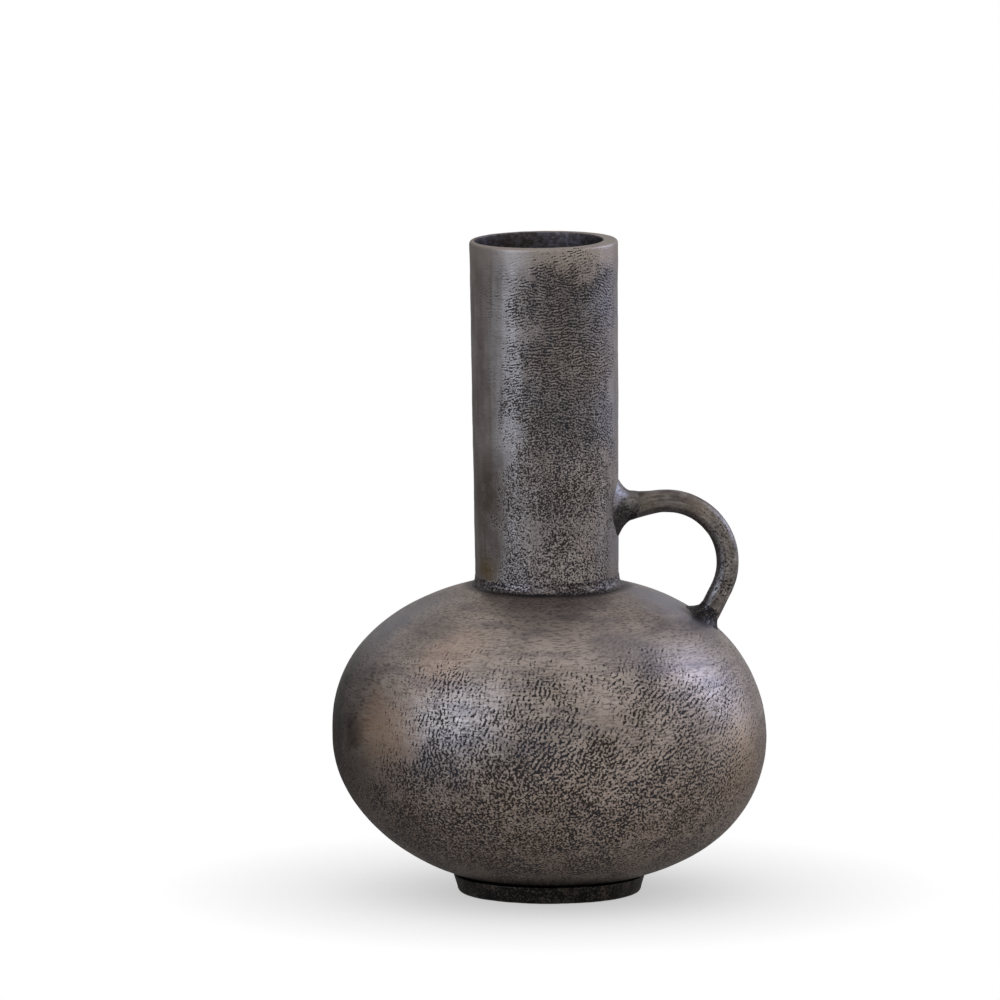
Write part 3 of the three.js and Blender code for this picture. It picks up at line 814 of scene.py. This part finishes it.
# Looped handle: a rod that leads out of the neck, goes round a loop and comes down on the shoulder
handle = {
    "radius": 5.9, "footRadius": 5.6, "rootSwell": 2.6, "swellLength": 24,
    "standOff": 23.8, "loopRise": 10.8, "loopRadius": 31.1, "leadSlope": 8.7, "legSlope": 26.6,
    "sink": 3, "legStep": 0.1, "leadPoints": 8, "loopPoints": 60, "step": 0.9, "sides": 56,
    "waveDepth": 0.6, "waveSize": 14, "lumpDepth": 0.2, "lumpSize": 4,
}
leadSlope = math.radians(handle["leadSlope"])
legSlope = math.radians(handle["legSlope"])
loopStart = math.pi / 2 + leadSlope
wallX = neck["rootOffset"] + neck["rootRadius"]
loopMiddle = Vector((wallX + handle["standOff"], 0, neckRoot + handle["loopRise"]))


def onLoop(angle):
    return loopMiddle + handle["loopRadius"] * Vector((math.cos(angle), 0, math.sin(angle)))


leadWay = Vector((math.cos(leadSlope), 0, math.sin(leadSlope)))
legWay = Vector((-math.sin(legSlope), 0, -math.cos(legSlope)))
leadEnd = onLoop(loopStart)
leadStart = leadEnd - leadWay * ((leadEnd.x - wallX) / leadWay.x)
legFoot = onLoop(-legSlope)
while legFoot.z > heightOnBody(legFoot.x - driftOnBody(legFoot.z), "rise"):
    legFoot += legWay * handle["legStep"]

route = [leadStart - leadWay * handle["sink"], leadStart]
route += [leadStart.lerp(leadEnd, i / handle["leadPoints"]) for i in range(1, handle["leadPoints"])]
for i in range(handle["loopPoints"] + 1):
    share = i / handle["loopPoints"]
    route.append(onLoop(loopStart * (1 - share) - legSlope * share))
route += [legFoot, legFoot + legWay * handle["sink"]]
gone = [0]
for before, after in zip(route, route[1:]):
    gone.append(gone[-1] + (after - before).length)


def rodRadius(far):  # thickness of the rod by how far along it, swollen at its root
    plain = handle["radius"] + (handle["footRadius"] - handle["radius"]) * far / gone[-1]
    swell = max(0, 1 - max(0, far - handle["sink"]) / handle["swellLength"]) ** 2
    return plain + handle["rootSwell"] * swell


makePiece("loopHandle", linePoints("handlePath", route, False, [rodRadius(far) for far in gone]), runTree,
          {"Step": handle["step"] * mm, "Sides": handle["sides"], "Material": handleMetal}
          | reliefOf(handle, 6.7),
          ("handle_rod",))


# Weld collars that spread from the rod on to the neck and the shoulder
def collarMesh(name, collar, start, way, wallNormal, dip, rodAt):
    across = Vector((wallNormal.z, 0, -wallNormal.x))
    rise = way / way.dot(wallNormal)
    count = collar["sides"]
    verts = []
    faces = []
    for i in range(collar["rings"] + 1):
        share = i / collar["rings"]
        tall = collar["length"] * share
        spread = (1 - min(1, tall / collar["fillet"])) ** 2
        skin = collar["skin"] * (1 - 2 * share ** 6)  # dips into the rod at its end
        wide = rodAt(tall) + skin + collar["fillet"] * spread
        hug = (1 - share) ** 2  # how closely the ring follows the wall
        for k in range(count):
            turn = 2 * math.pi * k / count
            beside = across * (wide * math.cos(turn) - collar["inset"] * hug)
            flat = start + beside + Vector((0, wide * math.sin(turn), 0))
            spot = flat + rise * tall - wallNormal * ((dip(flat) + collar["sink"]) * hug)
            verts.append(spot * mm)
    for i in range(collar["rings"]):
        for k in range(count):
            a = i * count + k
            b = i * count + (k + 1) % count
            faces.append((a, b, b + count, a + count))
    faces.append(tuple(range(count))[::-1])
    faces.append(tuple(collar["rings"] * count + k for k in range(count)))
    mesh = bpy.data.meshes.new(name)
    mesh.from_pydata(verts, [], faces)
    return mesh


neckCollar = {
    "fillet": 6.4, "length": 11, "skin": 0.35, "inset": 0, "sink": 0.5, "neckSpread": 0.3,
    "rings": 30, "sides": 96, "waveDepth": 0.7, "waveSize": 8, "lumpDepth": 0.3, "lumpSize": 2.5,
}
neckNormal = Vector((math.cos(lean), 0, math.sin(lean)))


def neckDip(spot):  # how far the round neck falls away from a flat plate at its side
    reach = neck["rootRadius"] + neckCollar["neckSpread"]
    return reach - math.sqrt(reach ** 2 - spot.y ** 2)


neckCollarMesh = collarMesh("neckCollar", neckCollar, leadStart, leadWay, neckNormal, neckDip,
                            lambda tall: rodRadius(handle["sink"] + tall))
makePiece("handleNeckCollar", neckCollarMesh, skinTree,
          {"Material": collarMetal} | reliefOf(neckCollar, 8.1),
          ("handle_neck_weld",))

legCollar = {
    "fillet": 5.2, "length": 8, "skin": 0.35, "inset": 2.4, "sink": 0.4,
    "leastDip": -6.0, "mostDip": 14.0, "halvings": 24,
    "rings": 30, "sides": 96, "waveDepth": 0.7, "waveSize": 7, "lumpDepth": 0.3, "lumpSize": 2.5,
}
nearZ = heightOnBody(legFoot.x - handle["footRadius"], "rise")
farZ = heightOnBody(legFoot.x + handle["footRadius"], "rise")
legNormal = Vector((nearZ - farZ, 0, 2 * handle["footRadius"])).normalized()


def shoulderDip(spot):  # how far the shoulder falls away from a flat plate under the rod
    low = legCollar["leastDip"]
    high = legCollar["mostDip"]
    for i in range(legCollar["halvings"]):
        middle = (low + high) / 2
        below = spot - legNormal * middle
        r = math.hypot(below.x - driftOnBody(below.z), below.y)
        if below.z > heightOnBody(r, "rise"):
            low = middle
        else:
            high = middle
    return low


legCollarMesh = collarMesh("legCollar", legCollar, legFoot, -legWay, legNormal, shoulderDip,
                           lambda tall: rodRadius(gone[-1] - handle["sink"] - tall))
makePiece("handleShoulderCollar", legCollarMesh, skinTree,
          {"Material": collarMetal} | reliefOf(legCollar, 9.4),
          ("handle_shoulder_weld",))

# Stage: pale round floor with a soft contact shadow painted from occlusion, white surround, large soft lamps
stage = {
    "floorRadius": 900, "floorSides": 96, "floorTone": "#e6e6e6",
    "shadowReach": 110, "shadowSamples": 8, "shadowTone": "#bababa",
    # how bright metal mirrors the floor, towards the back and the front
    "darkGloss": 0.15, "frontGloss": 0.95, "frontWay": (0.65, -0.76, 0), "glossReach": 200,
}
white = (1, 1, 1, 1)
rim = ringPoints(stage["floorRadius"], 0, stage["floorSides"])
floorMesh = bpy.data.meshes.new("floor")
floorMesh.from_pydata([Vector(p) * mm for p in rim], [], [tuple(range(stage["floorSides"]))])
floor = addObject("floor", floorMesh)
floorPaper = bpy.data.materials.new("matPaper")  # matt white paper, lit so evenly that it is seen as white
tree = openShader(floorPaper)
# To the camera the floor glows white, and to mirrored rays it glows darker at the back and brighter at the
# front; in both a contact shadow is painted from occlusion. Other rays meet matt paper
rays = addNode(tree, "ShaderNodeLightPath").outputs
seen = rays["Is Camera Ray"]
for ray in ("Is Glossy Ray", "Is Transmission Ray"):
    seen = addNode(tree, scalarMath, "MAXIMUM", {0: seen, 1: rays[ray]})
openSky = addNode(tree, "ShaderNodeAmbientOcclusion", {"samples": stage["shadowSamples"]},
                  {"Distance": stage["shadowReach"] * mm})
shadow = addNode(tree, "ShaderNodeMix", {"data_type": "RGBA"},
                 {0: openSky.outputs["AO"], 6: linear(stage["shadowTone"]), 7: white})
matt = addNode(tree, "ShaderNodeBsdfDiffuse", None, {"Color": linear(stage["floorTone"])})
coords = addNode(tree, "ShaderNodeTexCoord").outputs["Object"]
toFront = addNode(tree, vectorMath, "DOT_PRODUCT", {0: coords, 1: stage["frontWay"]})
mirrored = addNode(tree, mapRange, None,
                   {"Value": toFront.outputs["Value"],
                    "From Min": -stage["glossReach"] * mm, "From Max": stage["glossReach"] * mm,
                    "To Min": stage["darkGloss"], "To Max": stage["frontGloss"]})
bright = addNode(tree, "ShaderNodeMix", {"data_type": "FLOAT"},
                 {0: rays["Is Camera Ray"], 2: mirrored, 3: 1.0})
glow = addNode(tree, "ShaderNodeEmission", None, {"Color": shadow.outputs[2], "Strength": bright})
paper = addNode(tree, "ShaderNodeMixShader", None, {0: seen, 1: matt, 2: glow})
addNode(tree, "ShaderNodeOutputMaterial", None, {"Surface": paper})
floorMesh.materials.append(floorPaper)

room = {  # a white room, darker on the left as metal mirrors it
    "fill": 0.4, "darkGloss": 0.38, "brightGloss": 1.0,
    "brightWay": (0.6, -0.05, 0.9), "brightRange": (-0.45, 0.6),
}
world = bpy.data.worlds.new("studio")
bpy.context.scene.world = world
tree = openShader(world)
rays = addNode(tree, "ShaderNodeLightPath").outputs
sky = addNode(tree, "ShaderNodeTexCoord").outputs["Generated"]
towards = addNode(tree, vectorMath, "DOT_PRODUCT", {0: sky, 1: room["brightWay"]})
darkFrom, brightFrom = room["brightRange"]
gloss = addNode(tree, mapRange, softEnds,
                {"Value": towards.outputs["Value"], "From Min": darkFrom, "From Max": brightFrom,
                 "To Min": room["darkGloss"], "To Max": room["brightGloss"]})
shown = addNode(tree, scalarMath, "MAXIMUM", {0: rays["Is Glossy Ray"], 1: rays["Is Transmission Ray"]})
lit = addNode(tree, "ShaderNodeMix", {"data_type": "FLOAT"}, {0: shown, 2: room["fill"], 3: gloss})
strength = addNode(tree, "ShaderNodeMix", {"data_type": "FLOAT"}, {0: rays["Is Camera Ray"], 2: lit, 3: 1.0})
surround = addNode(tree, "ShaderNodeBackground", None, {"Color": white, "Strength": strength})
addNode(tree, "ShaderNodeOutputWorld", None, {"Surface": surround})

lamps = (  # turn is measured from the camera's side, to the right
    {"name": "leftSoftbox", "turn": -50, "rise": 19, "wide": 900, "tall": 1500,
     "watts": 15, "tint": "#cde1ff"},
    {"name": "rightSoftbox", "turn": 112, "rise": 26, "wide": 650, "tall": 1200,
     "watts": 10.5, "tint": "#bccdfa"},
)
lampTarget = Vector((0, 0, 150))
lampDistance = 1700
for lamp in lamps:
    turn = math.radians(lamp["turn"])
    rise = math.radians(lamp["rise"])
    way = Vector((math.sin(turn) * math.cos(rise), -math.cos(turn) * math.cos(rise), math.sin(rise)))
    light = bpy.data.lights.new(lamp["name"], "AREA")
    light.shape = "RECTANGLE"
    light.size = lamp["wide"] * mm
    light.size_y = lamp["tall"] * mm
    light.energy = lamp["watts"]
    light.color = linear(lamp["tint"])[:3]
    softbox = addObject(lamp["name"], light)
    softbox.location = (lampTarget + way * lampDistance) * mm
    softbox.rotation_euler = way.to_track_quat("Z", "Y").to_euler()
print("stage lit")

# Camera: the photograph's view, level across, looking a little down from far away
view = {
    "away": 10000, "elevation": 8, "middle": (-25, 0, 199.7), "frameWidth": 505.2, "sensor": 36,
    "clipEnd": 100000,
}
rise = math.radians(view["elevation"])
way = Vector((0, -math.cos(rise), math.sin(rise)))
lens = bpy.data.cameras.new("camera")
lens.sensor_width = view["sensor"]
lens.lens = view["sensor"] * view["away"] / view["frameWidth"]
lens.clip_end = view["clipEnd"] * mm
camera = addObject("camera", lens)
camera.location = (Vector(view["middle"]) + way * view["away"]) * mm
camera.rotation_euler = way.to_track_quat("Z", "Y").to_euler()
bpy.context.scene.camera = camera
bpy.context.scene.view_settings.view_transform = "Standard"
print("camera set")
